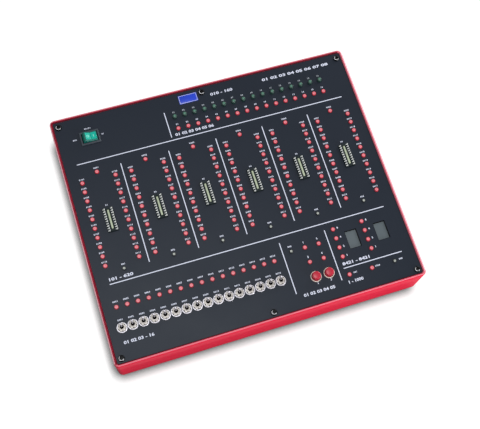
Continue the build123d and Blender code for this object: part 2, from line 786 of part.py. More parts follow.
heat_sink_x = power_board_x + power_board_length / 4
heat_sink_y = power_board_y + power_board_width / 4
fin_pitch = (heat_sink_length - heat_sink_fin) / (heat_sink_fins - 1)
with BuildPart() as heat_sink:
    with BuildSketch(Plane.XY.offset(power_top)):
        with Locations((heat_sink_x, heat_sink_y)):
            Rectangle(heat_sink_length, heat_sink_base, align=(Align.CENTER, Align.MIN))
            with GridLocations(fin_pitch, 0, heat_sink_fins, 1):
                Rectangle(heat_sink_fin, heat_sink_depth, align=(Align.CENTER, Align.MIN))
    extrude(amount=heat_sink_height)
save(heat_sink, "heat_sink")

with BuildPart() as regulator:
    with BuildSketch(Plane.XY.offset(power_top)):
        with Locations((heat_sink_x, heat_sink_y)):
            Rectangle(regulator_width, regulator_thickness, align=(Align.CENTER, Align.MAX))
    extrude(amount=regulator_height)
save(regulator, "regulator")

with BuildPart() as rectifier:
    with BuildSketch(Plane.XY.offset(power_top)):
        with Locations((power_board_x - power_board_length / 4, heat_sink_y)):
            Rectangle(rectifier_length, rectifier_thickness)
    extrude(amount=rectifier_height)
save(rectifier, "rectifier")

# Mains inlet: a flanged body with a three pin cavity, screwed to the back of its bay
with BuildPart() as mains_inlet:
    with BuildSketch(Plane.XZ.offset(-bay_back_y)) as flange:
        with Locations((inlet_x, inlet_z)):
            Rectangle(inlet_flange_length, inlet_flange_height)
        chamfer(flange.vertices(), inlet_flange_chamfer)
        with Locations((inlet_x, inlet_z)):
            with GridLocations(inlet_screw_pitch, 0, 2, 1):
                RegularPolygon(shank_hole_diameter / 2, screw_sides // 2, mode=Mode.SUBTRACT)
    extrude(amount=-inlet_flange_thickness)
    with BuildSketch(Plane.XZ.offset(-bay_back_y)):
        with Locations((inlet_x, inlet_z)):
            Rectangle(inlet_body_length, inlet_body_height)
    extrude(amount=inlet_body_depth)
    with BuildSketch(Plane.XZ.offset(-(bay_back_y + inlet_flange_thickness))) as cavity:
        with Locations((inlet_x, inlet_z)):
            Rectangle(inlet_cavity_length, inlet_cavity_height)
        chamfer(cavity.vertices().group_by(Axis.Y)[-1], inlet_corner_cut)
    extrude(amount=inlet_cavity_depth, mode=Mode.SUBTRACT)
save(mains_inlet, "mains_inlet")

cavity_floor_y = bay_back_y + inlet_flange_thickness - inlet_cavity_depth
pin_spots = [(inlet_x - inlet_pin_pitch / 2, inlet_z - inlet_pin_offset),
             (inlet_x + inlet_pin_pitch / 2, inlet_z - inlet_pin_offset),
             (inlet_x, inlet_z + inlet_pin_offset)]
with BuildPart() as inlet_pins:
    with BuildSketch(Plane.XZ.offset(-cavity_floor_y)):
        with Locations(*pin_spots):
            Rectangle(inlet_pin_width, inlet_pin_height)
    extrude(amount=-inlet_pin_length)
save(inlet_pins, "inlet_pins")

inlet_back_y = bay_back_y - inlet_body_depth
with BuildPart() as inlet_tabs:
    with BuildSketch(Plane.XZ.offset(-inlet_back_y)):
        with Locations(*pin_spots):
            Rectangle(inlet_pin_width / 2, inlet_pin_height)
    extrude(amount=inlet_tail_length)
save(inlet_tabs, "inlet_tabs")

flange_face_y = bay_back_y + inlet_flange_thickness
with BuildPart() as inlet_screws:
    with BuildSketch(Plane.XZ.offset(-flange_face_y)):
        with Locations((inlet_x, inlet_z)):
            with GridLocations(inlet_screw_pitch, 0, 2, 1):
                RegularPolygon(inlet_screw_head / 2, screw_sides)
    extrude(amount=-inlet_screw_head_height)
    with BuildSketch(Plane.XZ.offset(-flange_face_y)):
        with Locations((inlet_x, inlet_z)):
            with GridLocations(inlet_screw_pitch, 0, 2, 1):
                RegularPolygon(screw_shank_diameter / 2, screw_sides // 2)
    extrude(amount=inlet_screw_length)
save(inlet_screws, "inlet_screws")
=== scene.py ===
"""Looks of an electronics training console: tray, printed panel, jacks, sockets, switches and lamps."""

import json
from math import atan2, cos, hypot, pi, radians, sin, tau

import bmesh
import bpy
from bpy.props import FloatProperty, FloatVectorProperty, IntProperty, PointerProperty
from bpy.types import Operator, Panel, PropertyGroup
from mathutils import Matrix, Quaternion, Vector


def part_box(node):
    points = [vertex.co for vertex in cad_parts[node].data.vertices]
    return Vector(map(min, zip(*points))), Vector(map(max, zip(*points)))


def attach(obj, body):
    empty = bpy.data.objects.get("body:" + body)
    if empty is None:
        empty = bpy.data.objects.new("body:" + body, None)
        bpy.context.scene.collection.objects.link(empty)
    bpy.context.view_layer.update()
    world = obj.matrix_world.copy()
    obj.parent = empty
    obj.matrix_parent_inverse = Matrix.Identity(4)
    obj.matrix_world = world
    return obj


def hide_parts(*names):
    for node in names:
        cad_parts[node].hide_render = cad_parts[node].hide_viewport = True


bl_info = {
    "name": "Electronics Training Console",
    "version": (1, 0, 0),
    "blender": (4, 5, 0),
    "location": "View3D > Sidebar > Console",
    "description": "Dresses the packed console with its surfaces, print, switches and lamps",
    "category": "Object",
}

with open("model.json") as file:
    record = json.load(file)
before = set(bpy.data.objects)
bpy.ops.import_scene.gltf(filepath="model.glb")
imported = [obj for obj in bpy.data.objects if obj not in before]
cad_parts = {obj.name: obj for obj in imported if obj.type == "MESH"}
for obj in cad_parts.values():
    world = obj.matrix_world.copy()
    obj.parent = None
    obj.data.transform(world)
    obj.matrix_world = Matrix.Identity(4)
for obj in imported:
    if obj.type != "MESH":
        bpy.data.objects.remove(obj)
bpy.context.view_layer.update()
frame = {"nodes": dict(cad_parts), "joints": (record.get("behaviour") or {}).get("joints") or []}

BODY = "console"
PANEL_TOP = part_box("front_panel")[1].z
MM = 0.001

# Points closer than this are one point
MERGE = 0.001 * MM

# The tray's middle, and the corners of a square, anticlockwise
MIDDLE = Vector((0, 0, 0))
CORNERS = ((-1, -1), (1, -1), (1, 1), (-1, 1))


# Settings


def colour(name, description, red, green, blue):
    """A colour property whose default is given as it looks on a screen, 0 to 255."""
    def to_linear(value):
        value /= 255
        return value / 12.92 if value <= 0.04045 else ((value + 0.055) / 1.055) ** 2.4
    return FloatVectorProperty(name=name, description=description, subtype="COLOR", size=3, min=0, max=1,
                               default=(to_linear(red), to_linear(green), to_linear(blue)))


def length(name, description, millimetres):
    """A length property in metres whose default is given in millimetres."""
    return FloatProperty(name=name, description=description, unit="LENGTH", min=0, default=millimetres * MM)


def steps(name, description, default):
    """A property for the number of flat steps round a turned piece."""
    return IntProperty(name=name, description=description, default=default, min=6, max=96)


class ConsoleColours(PropertyGroup):
    case_red: colour("Tray red", "Satin red of the tray", 224, 31, 64)
    # Painted light on the rim: a pale painted highlight, a softer painted highlight and a dark painted shade
    # inside it
    rim_highlight_red: colour("Rim highlight red", "Painted highlight: paler red on the rounded rim at the sides", 246, 170, 181)
    rim_soft_highlight_red: colour("Rim soft highlight", "Softer painted highlight: pale red on the rim at the front and back", 216, 114, 128)
    rim_inside_shade: colour("Inner rim shade", "Painted shade: dark red on the slope inside the rim", 104, 16, 32)
    lip_red: colour("Lip red", "Shaded red of the lip beside the panel", 96, 12, 28)
    panel_dark: colour("Panel", "Dark blue-grey paint of the panel", 18, 26, 38)
    print_white: colour("Print", "Pale ink of the lines and numbers", 218, 222, 240)
    plate_blue: colour("Plate", "Blue of the bare plate", 16, 56, 190)
    jack_red: colour("Jack red", "Red of the signal jacks", 190, 44, 60)
    jack_cup: colour("Jack cup", "Pale red inside the signal jacks", 226, 128, 138)
    jack_black: colour("Jack black", "Black of the ground jacks", 34, 38, 43)
    jack_contact: colour("Jack contact", "Pale cup of the ground jacks and bare metal", 176, 180, 173)
    lamp_green: colour("Lamp green", "Tinted lens of the unlit lamps", 24, 54, 47)
    # A paler copy of the lens green, painted on the lens's top as light
    lamp_lit_top_green: colour("Lamp lit top", "Painted light: paler middle on top of a lens", 70, 119, 99)
    socket_body: colour("Socket body", "Dark moulding of the chip sockets", 26, 34, 36)
    socket_bar: colour("Socket bar", "Pale bar in the middle of a chip socket", 170, 180, 154)
    nickel: colour("Nickel", "Plated metal of the washers and levers", 176, 173, 180)
    nut_metal: colour("Nut metal", "Warmer metal of the nuts and bushings", 156, 151, 147)
    ring_beige: colour("Button ring", "Pale ring round a push button", 240, 224, 212)
    button_red: colour("Button red", "Red of the push buttons", 178, 24, 50)
    display_face: colour("Display face", "Grey face of the digit modules", 82, 91, 96)
    # The rocker's green as its sides look in shade, and a brighter copy painted on its top as light
    rocker_green: colour("Rocker green", "Deep green of the mains rocker, dark as its shaded sides look", 4, 100, 90)
    rocker_lit_green: colour("Rocker lit top", "Painted light: bright green on top of the mains rocker", 28, 172, 152)
    rocker_mark: colour("Rocker marks", "Pale marks on the mains rocker", 150, 226, 212)
    housing_black: colour("Housing", "Black of the rocker housing and the inlet", 46, 53, 62)
    floor_white: colour("Floor", "Pale grey of the floor, which its glow lifts to white", 150, 150, 150)


class ConsoleSizes(PropertyGroup):
    case_edge: length("Tray edge", "Round on the outer edges of the tray", 1.8)
    line_width: length("Line width", "Width of the printed lines", 0.9)
    small_text: length("Number height", "Height of the small numbers", 1.5)
    digit_text: length("Digit height", "Height of the numbers that are one digit long", 1.8)
    heading_text: length("Heading height", "Height of the section numbers", 2.9)
    print_lift: length("Print lift", "Height of the ink above the paint", 0.03)
    lever_tip: length("Lever tip", "Diameter of a toggle lever's tip", 2.6)
    lever_neck: length("Lever neck", "Diameter of a toggle lever's neck", 1.7)
    jack_sides: steps("Jack sides", "Steps round one jack", 10)
    lever_sides: steps("Lever sides", "Steps round a toggle lever", 20)
    small_sides: steps("Small sides", "Steps round a lamp, bushing or rocker mark", 24)
    round_sides: steps("Round sides", "Steps round a foot, screw, washer or button", 32)


def colours():
    return bpy.context.scene.console_colours


def sizes():
    return bpy.context.scene.console_sizes


# Surfaces


def set_inputs(node, values):
    """Gives inputs of a shader node plain values, by their names."""
    for name, value in values.items():
        node.inputs[name].default_value = value


def grain_group():
    """Fine moulded or sprayed grain: a height for a bump, and a roughness that drifts over the surface."""
    group = bpy.data.node_groups.get("Surface Grain")
    if group:
        return group
    group = bpy.data.node_groups.new("Surface Grain", "ShaderNodeTree")
    face = group.interface
    for name, value in (("Grain Scale", 1500.0), ("Drift Scale", 25.0), ("Rough Low", 0.3),
                        ("Rough High", 0.4)):
        face.new_socket(name, in_out="INPUT", socket_type="NodeSocketFloat").default_value = value
    face.new_socket("Height", in_out="OUTPUT", socket_type="NodeSocketFloat")
    face.new_socket("Roughness", in_out="OUTPUT", socket_type="NodeSocketFloat")
    nodes, link = group.nodes, group.links.new
    entry, leave = nodes.new("NodeGroupInput"), nodes.new("NodeGroupOutput")
    place = nodes.new("ShaderNodeTexCoord")
    grain, drift = nodes.new("ShaderNodeTexNoise"), nodes.new("ShaderNodeTexNoise")
    for noise, detail, scale in ((grain, 3, "Grain Scale"), (drift, 4, "Drift Scale")):
        set_inputs(noise, {"Detail": detail})
        link(place.outputs["Object"], noise.inputs["Vector"])
        link(entry.outputs[scale], noise.inputs["Scale"])
    spread = nodes.new("ShaderNodeMapRange")
    set_inputs(spread, {"From Min": 0.3, "From Max": 0.7})
    link(drift.outputs["Fac"], spread.inputs["Value"])
    link(entry.outputs["Rough Low"], spread.inputs["To Min"])
    link(entry.outputs["Rough High"], spread.inputs["To Max"])
    link(grain.outputs["Fac"], leave.inputs["Height"])
    link(spread.outputs["Result"], leave.inputs["Roughness"])
    return group


def surface(name, base, rough, drift=0.1, metal=0.0, bump=0.0, grain=1500.0, specular=0.4, coat=0.0):
    """A Principled material with the shared grain. Its roughness runs from rough to rough + drift."""
    material = bpy.data.materials.get(name)
    if material:
        return material
    material = bpy.data.materials.new(name)
    material.use_nodes = True
    nodes, link = material.node_tree.nodes, material.node_tree.links.new
    shader = nodes["Principled BSDF"]
    set_inputs(shader, {"Base Color": (*base, 1), "Metallic": metal, "Specular IOR Level": specular,
                        "Coat Weight": coat, "Coat Roughness": 0.12})
    group = nodes.new("ShaderNodeGroup")
    group.node_tree = grain_group()
    set_inputs(group, {"Grain Scale": grain, "Rough Low": rough, "Rough High": rough + drift})
    link(group.outputs["Roughness"], shader.inputs["Roughness"])
    if bump:
        relief = nodes.new("ShaderNodeBump")
        set_inputs(relief, {"Strength": bump, "Distance": 0.05 * MM})
        link(group.outputs["Height"], relief.inputs["Height"])
        link(relief.outputs["Normal"], shader.inputs["Normal"])
    return material


def print_ink():
    return surface("Print Ink", colours().print_white, 0.5, specular=0.3)


def black_screw():
    return surface("Black Screw", (0.004, 0.004, 0.005), 0.35, specular=0.1)


def contact_metal():
    return surface("Contact Metal", colours().jack_contact, 0.3, metal=1.0, specular=0.5)


def black_plastic():
    return surface("Black Plastic", colours().housing_black, 0.4, bump=0.15, grain=1400, specular=0.3)


# Near-black painted shade, for the bushings' bores, the nuts' corners and the levers' feet
def shade_black():
    return surface("Painted Shade Black", (0.008, 0.004, 0.002), 0.6, specular=0.02)


# Places, read from the frame


def spots(node):
    """Low and high corner of each separate solid in a CAD node, left to right and then back to front."""
    mesh = bmesh.new()
    mesh.from_mesh(frame["nodes"][node].data)
    bmesh.ops.remove_doubles(mesh, verts=mesh.verts, dist=MERGE)
    found, left = [], set(mesh.verts)
    while left:
        waiting, points = [left.pop()], []
        while waiting:
            vert = waiting.pop()
            points.append(vert.co.copy())
            near = left & {edge.other_vert(vert) for edge in vert.link_edges}
            left -= near
            waiting += near
        found.append([Vector([end(values) for values in zip(*points)]) for end in (min, max)])
    mesh.free()
    return sorted(found, key=lambda box: (round(box[0].x + box[1].x, 4), -round(box[0].y + box[1].y, 4)))


def centres(node):
    """Top centre of each separate solid in a CAD node."""
    return [Vector(((low.x + high.x) / 2, (low.y + high.y) / 2, high.z)) for low, high in spots(node)]


def stands(node, height):
    """Matrices that place a shape at the centre of each separate solid in a CAD node, at that height."""
    return [Matrix.Translation((top.x, top.y, height)) for top in centres(node)]


def rectangle(middle, half_x, half_y, height):
    """Four corners of a level rectangle, anticlockwise."""
    return [Vector((middle.x + x * half_x, middle.y + y * half_y, height)) for x, y in CORNERS]


# Forms


def rounded(mesh, edges, offset, segments=2, clamp=False):
    """Rounds those edges of a bmesh."""
    bmesh.ops.bevel(mesh, geom=edges, offset=offset, segments=segments, affect="EDGES", profile=0.5,
                    material=-1, clamp_overlap=clamp)


def merged(node):
    """A bmesh copy of a CAD node with its loose triangles joined into whole faces."""
    mesh = bmesh.new()
    mesh.from_mesh(frame["nodes"][node].data)
    bmesh.ops.remove_doubles(mesh, verts=mesh.verts, dist=MERGE)
    bmesh.ops.dissolve_limit(mesh, angle_limit=radians(1), verts=mesh.verts, edges=mesh.edges)
    return mesh


def softened(node, edge, segments=2):
    """A bmesh copy of a CAD node with its sharp edges rounded."""
    mesh = merged(node)
    sharp = radians(35)
    hard = [e for e in mesh.edges if len(e.link_faces) == 2 and e.calc_face_angle(0) > sharp]
    rounded(mesh, hard, edge, segments, clamp=True)
    return mesh


def turned(profile, sides):
    """A bmesh of a profile of (radius, height) pairs in millimetres, turned about the Z axis."""
    mesh = bmesh.new()
    verts = [mesh.verts.new((radius * MM, 0, height * MM)) for radius, height in profile]
    edges = [mesh.edges.new(pair) for pair in zip(verts, verts[1:])]
    bmesh.ops.spin(mesh, geom=verts + edges, cent=(0, 0, 0), axis=(0, 0, 1), angle=tau, steps=sides,
                   use_merge=True)
    bmesh.ops.remove_doubles(mesh, verts=mesh.verts, dist=MERGE)
    bmesh.ops.recalc_face_normals(mesh, faces=mesh.faces)
    return mesh


def arc(across, up, radius, degrees):
    """Points of a profile that lie on an arc round the point (across, up)."""
    return [(across + radius * cos(radians(t)), up + radius * sin(radians(t)))
            for t in degrees]


def block(low, high, edge=0.0):
    """A bmesh of a box between two corners, in metres, with an optional rounded edge."""
    mesh = bmesh.new()
    bmesh.ops.create_cube(mesh, size=1)
    low, high = Vector(low), Vector(high)
    bmesh.ops.scale(mesh, vec=high - low, verts=mesh.verts)
    bmesh.ops.translate(mesh, vec=(low + high) / 2, verts=mesh.verts)
    if edge:
        rounded(mesh, mesh.edges, edge)
    return mesh


def band(mesh, rings):
    """Joins closed rings of points with faces, each to the next."""
    loops = [[mesh.verts.new(point) for point in ring] for ring in rings]
    for one, two in zip(loops, loops[1:]):
        for corners in zip(one, one[1:] + one[:1], two[1:] + two[:1], two):
            mesh.faces.new(corners)


def flat_ring(mesh, circles, matrix):
    """Adds a flat ring between two circles, each with its radius and steps, and returns its faces."""
    verts = []
    for radius, sides in circles:
        verts += bmesh.ops.create_circle(mesh, segments=sides, radius=radius * MM, matrix=matrix)["verts"]
    edges = list({e for v in verts for e in v.link_edges})
    return bmesh.ops.bridge_loops(mesh, edges=edges)["faces"]


def mesh_data(name, mesh):
    """Mesh data made from a bmesh, which is freed."""
    data = bpy.data.meshes.new(name)
    mesh.to_mesh(data)
    mesh.free()
    return data


def added(name, data):
    """A new object in the scene."""
    made = bpy.data.objects.new(name, data)
    bpy.context.scene.collection.objects.link(made)
    return made


def gather(*parts):
    """One bmesh from pairs of (bmesh, matrices). Each bmesh is placed once by each matrix, then freed."""
    whole = bmesh.new()
    for part, matrices in parts:
        shape = mesh_data("part", part)
        for matrix in matrices:
            placed = shape.copy()
            placed.transform(matrix)
            whole.from_mesh(placed)
            bpy.data.meshes.remove(placed)
        bpy.data.meshes.remove(shape)
    return whole


def piece(name, mesh, material, body=BODY, nodes=(), smooth=35):
    """A finished object from a bmesh: shaded, painted, riding on its body and standing for its CAD nodes."""
    data = mesh_data(name, mesh)
    data.materials.append(material)
    data.shade_smooth()
    data.set_sharp_from_angle(angle=radians(smooth))
    made = added(name, data)
    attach(made, body)
    if nodes:
        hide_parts(*nodes)
    return made


def paint(node, material):
    """Gives a CAD node that keeps its own shape a material."""
    data = frame["nodes"][node].data
    data.materials.clear()
    data.materials.append(material)


# Print

# Height of a digit as a share of the font's size
DIGIT_SHARE = 0.7

# Printed lines from end to end, in millimetres
LINES = (
    ((-144.5, 78.4), (142.7, 78.4)),
    ((-144.5, -51.8), (142.7, -51.8)),
    ((-44.2, 81.7), (-44.2, 110.8)),
    ((27.0, -113.6), (27.0, -59.0)),
    ((75.2, -113.6), (75.2, -59.0)),
    ((80.9, -102.5), (143.8, -102.5)),
    *(((-101.8 + 50.4 * k, -40.6), (-101.8 + 50.4 * k, 68.3)) for k in range(5)),
)

# Section numbers: text, left end, middle height and width in millimetres
HEADINGS = (
    ("01 02 03 04 05 06 07 08", 66.0, 119.9, 75.0),
    ("010 - 160", 8.1, 118.4, 24.5),
    ("01 02 03 04 05 06", -39.9, 83.6, 41.5),
    ("101 - 620", -144.0, -47.2, 24.0),
    ("01 02 03 - 16", -146.5, -111.0, 30.0),
    ("01 02 03 04 05", 33.5, -117.4, 33.0),
    ("8421 - 8421", 81.2, -98.0, 29.0),
    ("1 - 1000", 81.2, -117.4, 15.5),
)

# Plain numbers round the mains rocker: text and middle in millimetres
SWITCH_MARKS = (("000", -139.8, 105.4), ("01", -111.0, 105.2), ("00101", -124.6, 115.1))


def counted(digits):
    """Numbers from 1 to 20 with that many digits."""
    return [f"{number:0{digits}d}" for number in range(1, 21)]


# Chip by chip, the numbers of its jacks: down the left column and then down the right one
CHIP_NUMBERS = [f"{chip:02d}{pin:02d}" for chip in range(1, 7)
                for pin in (*range(1, 11), *range(20, 10, -1))]

# Numbers beside pieces: node, part of the panel (left, right, front, back), what is printed there from left
# to right and then from back to front, and how far to the right and behind it stands, in millimetres
NUMBERS = (
    ("red_jacks", (-160, 160, -36, 60), CHIP_NUMBERS, 0, 4.1),
    ("red_jacks", (-160, 160, 60, 70), counted(4), 0, 4.6),
    ("ground_jacks", (-160, 160, -50, 130), counted(3), 0, 4.8),
    ("red_jacks", (-160, 160, 80, 100), counted(2), 0, 5.1),
    ("red_jacks", (-160, 30, -80, -70), counted(4), 0, 5.6),
    ("toggle_nuts", (-160, 160, -130, 130), counted(4), 0, 8.0),
    ("ic_sockets", (-160, 160, -130, 130), counted(2), 0, 16.2),
    ("red_jacks", (80, 160, -100, -55), "84218421", 5.0, 0.6),
    ("red_jacks", (80, 160, -130, -100), ("001", "1000"), 6.5, 0.8),
    ("ground_jacks", (80, 160, -130, -100), ("000",), 6.8, 0.8),
    ("ground_jacks", (30, 80, -100, -60), ("000",), 0, 5.3),
    ("red_jacks", (30, 80, -130, -60), "1234", 0, 5.6),
)

# The bare plate and the line round it, in millimetres
PLATE_MIDDLE = (-15.6, 120.3)
PLATE_HALF = (10.0, 4.95)
PLATE_THICK = 0.25
BORDER_HALF = (9.3, 4.3)
BORDER_LINE = 0.35

written = {}


def writing(text, height, weight, spacing):
    """A flat mesh of a number, with digits of that height in metres. Each is made once."""
    key = (text, height, weight, spacing)
    if key not in written:
        curve = bpy.data.curves.new("writing", "FONT")
        curve.body = text
        curve.align_x, curve.align_y = "CENTER", "CENTER"
        curve.size = height / DIGIT_SHARE
        curve.offset = weight * height
        curve.space_character = spacing
        curve.resolution_u = 2
        maker = added("writing", curve)
        flat = bpy.data.meshes.new_from_object(maker.evaluated_get(bpy.context.evaluated_depsgraph_get()))
        bpy.data.objects.remove(maker)
        bpy.data.curves.remove(curve)
        written[key] = flat
    return written[key]


def write(mesh, text, at, height, weight=0.075, spacing=1.3, width=0.0):
    """Adds a number to a bmesh, centred on a point, or stretched to a width from its left end there."""
    flat = writing(text, height, weight, spacing).copy()
    xs = [v.co.x for v in flat.vertices]
    ys = [v.co.y for v in flat.vertices]
    middle = Vector((min(xs) if width else (min(xs) + max(xs)) / 2, (min(ys) + max(ys)) / 2, 0))
    stretch = width / (max(xs) - min(xs)) if width else 1.0
    widen = Matrix.Diagonal((stretch, 1, 1, 1))
    flat.transform(Matrix.Translation(at) @ widen @ Matrix.Translation(-middle))
    mesh.from_mesh(flat)
    bpy.data.meshes.remove(flat)


def stroke(mesh, start, end, width):
    """Adds a level printed line between two points in metres."""
    along = end - start
    turn = atan2(along.y, along.x)
    matrix = (Matrix.Translation((start + end) / 2) @ Matrix.Rotation(turn, 4, "Z") @
              Matrix.Diagonal((along.length, width, 1, 1)))
    bmesh.ops.create_grid(mesh, x_segments=1, y_segments=1, size=0.5, matrix=matrix)


def inked(right, behind, point=MIDDLE):
    """The point of the ink that lies that many millimetres from a point, or from the tray's middle."""
    return Vector((point.x + right * MM, point.y + behind * MM, PANEL_TOP + sizes().print_lift))


def within(points, area):
    """The points that lie in a part of the panel."""
    left, right, front, back = (side * MM for side in area)
    return [p for p in points if left < p.x < right and front < p.y < back]


# Pieces


class Step:
    """What the operators share: each adds its pieces in build()."""

    def execute(self, context):
        self.build()
        return {"FINISHED"}


# Round of the tray's corners seen from above
TRAY_CORNER = 5.0 * MM

# The tray's paints in their order: the tray's own, then painted light on the rim: a pale painted highlight
# on its sides, a dark painted shade on the slope inside it, and a softer painted highlight at its front and
# back
OWN, RIM_PAINTED_HIGHLIGHT, RIM_PAINTED_SHADE, RIM_SOFT_HIGHLIGHT = range(4)


def near_wall(point, wall, distance):
    """Whether a point lies within that distance of the tray's outer wall, with its rounded corners."""
    dx = abs(point.x) - (wall.x - TRAY_CORNER)
    dy = abs(point.y) - (wall.y - TRAY_CORNER)
    limit = TRAY_CORNER - distance
    return max(dx, dy) > limit or (dx > 0 and dy > 0 and hypot(dx, dy) > limit)


def rim_painted_light(normal, inside):
    """Which painted highlight or painted shade a face of the rim gets, from the side it faces."""
    x, y, z = normal
    leaning, upward, level = 0.1, 0.7, 0.9
    if inside:
        return RIM_SOFT_HIGHLIGHT if x < -leaning else RIM_PAINTED_SHADE
    if y < -leaning:
        return RIM_SOFT_HIGHLIGHT if z > upward else OWN
    if x < -leaning:
        return RIM_PAINTED_SHADE if z > level else RIM_PAINTED_HIGHLIGHT
    return RIM_PAINTED_HIGHLIGHT if x > leaning else RIM_SOFT_HIGHLIGHT


class CONSOLE_OT_case(Step, Operator):
    """Red tray with softened edges and painted highlights and shade on its rim, on round rubber feet"""
    bl_idname = "console.case"
    bl_label = "Tray and Feet"

    def build(self):
        tray = merged("lower_case")
        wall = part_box("lower_case")[1]
        edge, near = sizes().case_edge, 0.3 * MM
        rim = [e for e in tray.edges
               if all(v.co.z > wall.z - near and near_wall(v.co, wall, near) for v in e.verts)]
        rounded(tray, rim, edge, segments=4, clamp=True)
        satin = surface("Satin Red Paint", colours().case_red, 0.5, bump=0.15, grain=900, specular=0.0,
                        coat=0.12)
        made = piece("tray", tray, satin, nodes=["lower_case"], smooth=40)
        # Painted light for the rim: pale and softer painted highlights, and a dark painted shade for the
        # slope inside
        made.data.materials.append(surface("Rim Painted Highlight", colours().rim_highlight_red, 0.3, specular=0.2))
        made.data.materials.append(surface("Inner Rim Painted Shade", colours().rim_inside_shade, 0.5, specular=0.1))
        made.data.materials.append(surface("Rim Soft Painted Highlight", colours().rim_soft_highlight_red, 0.5, specular=0.05))
        # Each sloping face of the rim gets its painted highlight or painted shade by the side it faces
        for face in made.data.polygons:
            sloping = 0.1 < face.normal.z < 0.99
            if sloping and face.center.z > wall.z - edge:
                face.material_index = rim_painted_light(face.normal, not near_wall(face.center, wall, edge))

        panel, gap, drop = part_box("front_panel")[1], 0.2 * MM, 0.95 * MM
        lip = bmesh.new()
        band(lip, [rectangle(MIDDLE, panel.x + gap, panel.y + gap, z) for z in (wall.z - drop, PANEL_TOP)])
        shade = surface("Lip Shade", colours().lip_red, 0.6, specular=0.1)
        piece("tray_lip", lip, shade)

        low, high = spots("rubber_feet")[0]
        radius, deep = (high.x - low.x) / 2 / MM, high.z / MM
        foot = turned([(0, 0), (radius - 0.8, 0), (radius - 0.2, 0.3), (radius, 1.0), (radius, deep),
                       (0, deep)], sizes().round_sides)
        rubber = surface("Foot Rubber", (0.02, 0.02, 0.02), 0.7, drift=0.15, bump=0.3, specular=0.2)
        places = stands("rubber_feet", 0)
        piece("feet", gather((foot, places)), rubber, nodes=["rubber_feet"])


# Radius of the flat top of a screw, in millimetres
SCREW_FLAT = 1.95


def screw_head(high):
    """A round screw head of that height in millimetres, with a hexagon socket."""
    key, depth = 1.73, 1.3
    head = turned([(3.2, 0), (3.2, high - 1.1), (3.1, high - 0.8), (2.85, high - 0.5), (2.5, high - 0.22),
                   (2.15, high - 0.06), (SCREW_FLAT, high)], sizes().round_sides)
    rim = [e for e in head.edges if e.is_boundary and e.verts[0].co.z > (high - 0.05) * MM]
    hexagon = bmesh.ops.create_circle(head, segments=6, radius=key * MM,
                                      matrix=Matrix.Translation((0, 0, high * MM)))["verts"]
    inner = list({e for v in hexagon for e in v.link_edges})
    bmesh.ops.bridge_loops(head, edges=rim + inner)
    walls = bmesh.ops.extrude_edge_only(head, edges=inner)["geom"]
    deep = [g for g in walls if isinstance(g, bmesh.types.BMVert)]
    bmesh.ops.translate(head, vec=(0, 0, -depth * MM), verts=deep)
    bmesh.ops.contextual_create(head, geom=[e for e in walls if isinstance(e, bmesh.types.BMEdge)
                                            and all(v in deep for v in e.verts)])
    bmesh.ops.recalc_face_normals(head, faces=head.faces)
    return head


def painted_glints(high):
    """Two thin bright arcs on a screw head of that height in millimetres, widest in their middles: painted
    highlights that stand for the lamps' glints.
    """
    glints = bmesh.new()
    middle, lift, slope, count = 2.2, 0.03, 0.4, 14
    # Painted glints: a long one on the lower left and a short one on the lower right of the head
    for first, last, wide in ((115, 270, 0.7), (-85, -35, 0.95)):
        rails = []
        for k in range(count + 1):
            turn = radians(first + (last - first) * k / count)
            half = wide / 2 * sin(pi * (k + 0.5) / (count + 1))
            rails.append([glints.verts.new((r * cos(turn) * MM, r * sin(turn) * MM,
                                          (high + lift - max(0, r - SCREW_FLAT) * slope) * MM))
                          for r in (middle - half, middle + half)])
        for one, two in zip(rails, rails[1:]):
            glints.faces.new((one[0], one[1], two[1], two[0]))
    return glints


class CONSOLE_OT_panel(Step, Operator):
    """Dark painted panel with its black screws"""
    bl_idname = "console.panel"
    bl_label = "Panel and Screws"

    def build(self):
        paint("front_panel", surface("Panel Paint", colours().panel_dark, 0.4, drift=0.05, bump=0.2,
                                     grain=1100, specular=0.17))
        high = (centres("panel_screws")[0].z - PANEL_TOP) / MM
        places = stands("panel_screws", PANEL_TOP)
        piece("screw_heads", gather((screw_head(high), places)), black_screw(),
              nodes=["panel_screws"], smooth=30)
        # Painted highlights on the screw heads
        bare = surface("Painted Screw Glint", (0.8, 0.8, 0.84), 0.3)
        piece("screw_painted_glints", gather((painted_glints(high), places)), bare)


class CONSOLE_OT_print(Step, Operator):
    """Printed lines and plain numbers"""
    bl_idname = "console.print"
    bl_label = "Panel Print"

    def build(self):
        small, single = sizes().small_text, sizes().digit_text
        ink = bmesh.new()
        for start, end in LINES:
            stroke(ink, inked(*start), inked(*end), sizes().line_width)
        for node, area, texts, right, behind in NUMBERS:
            for text, point in zip(texts, within(centres(node), area)):
                write(ink, text, inked(right, behind, point), single if len(text) == 1 else small)
        for text, letter in (("1", "a"), ("2", "b")):
            low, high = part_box("pulse_button_" + letter)
            front = Vector(((low.x + high.x) / 2, low.y))
            write(ink, text, inked(0, -2.3, front), single)
        for text, x, y, width in HEADINGS:
            write(ink, text, inked(x, y), sizes().heading_text, 0.05, 1.0, width * MM)
        for text, x, y in SWITCH_MARKS:
            write(ink, text, inked(x, y), small, 0.06)
        faint = bmesh.new()
        for text, point in zip(counted(2), centres("indicator_lamps")):
            write(faint, text, inked(0, 5.4, point), small)
        grey = surface("Faint Ink", (0.42, 0.45, 0.5), 0.5, specular=0.2)
        piece("lamp_numbers", faint, grey)
        piece("panel_print", ink, print_ink())


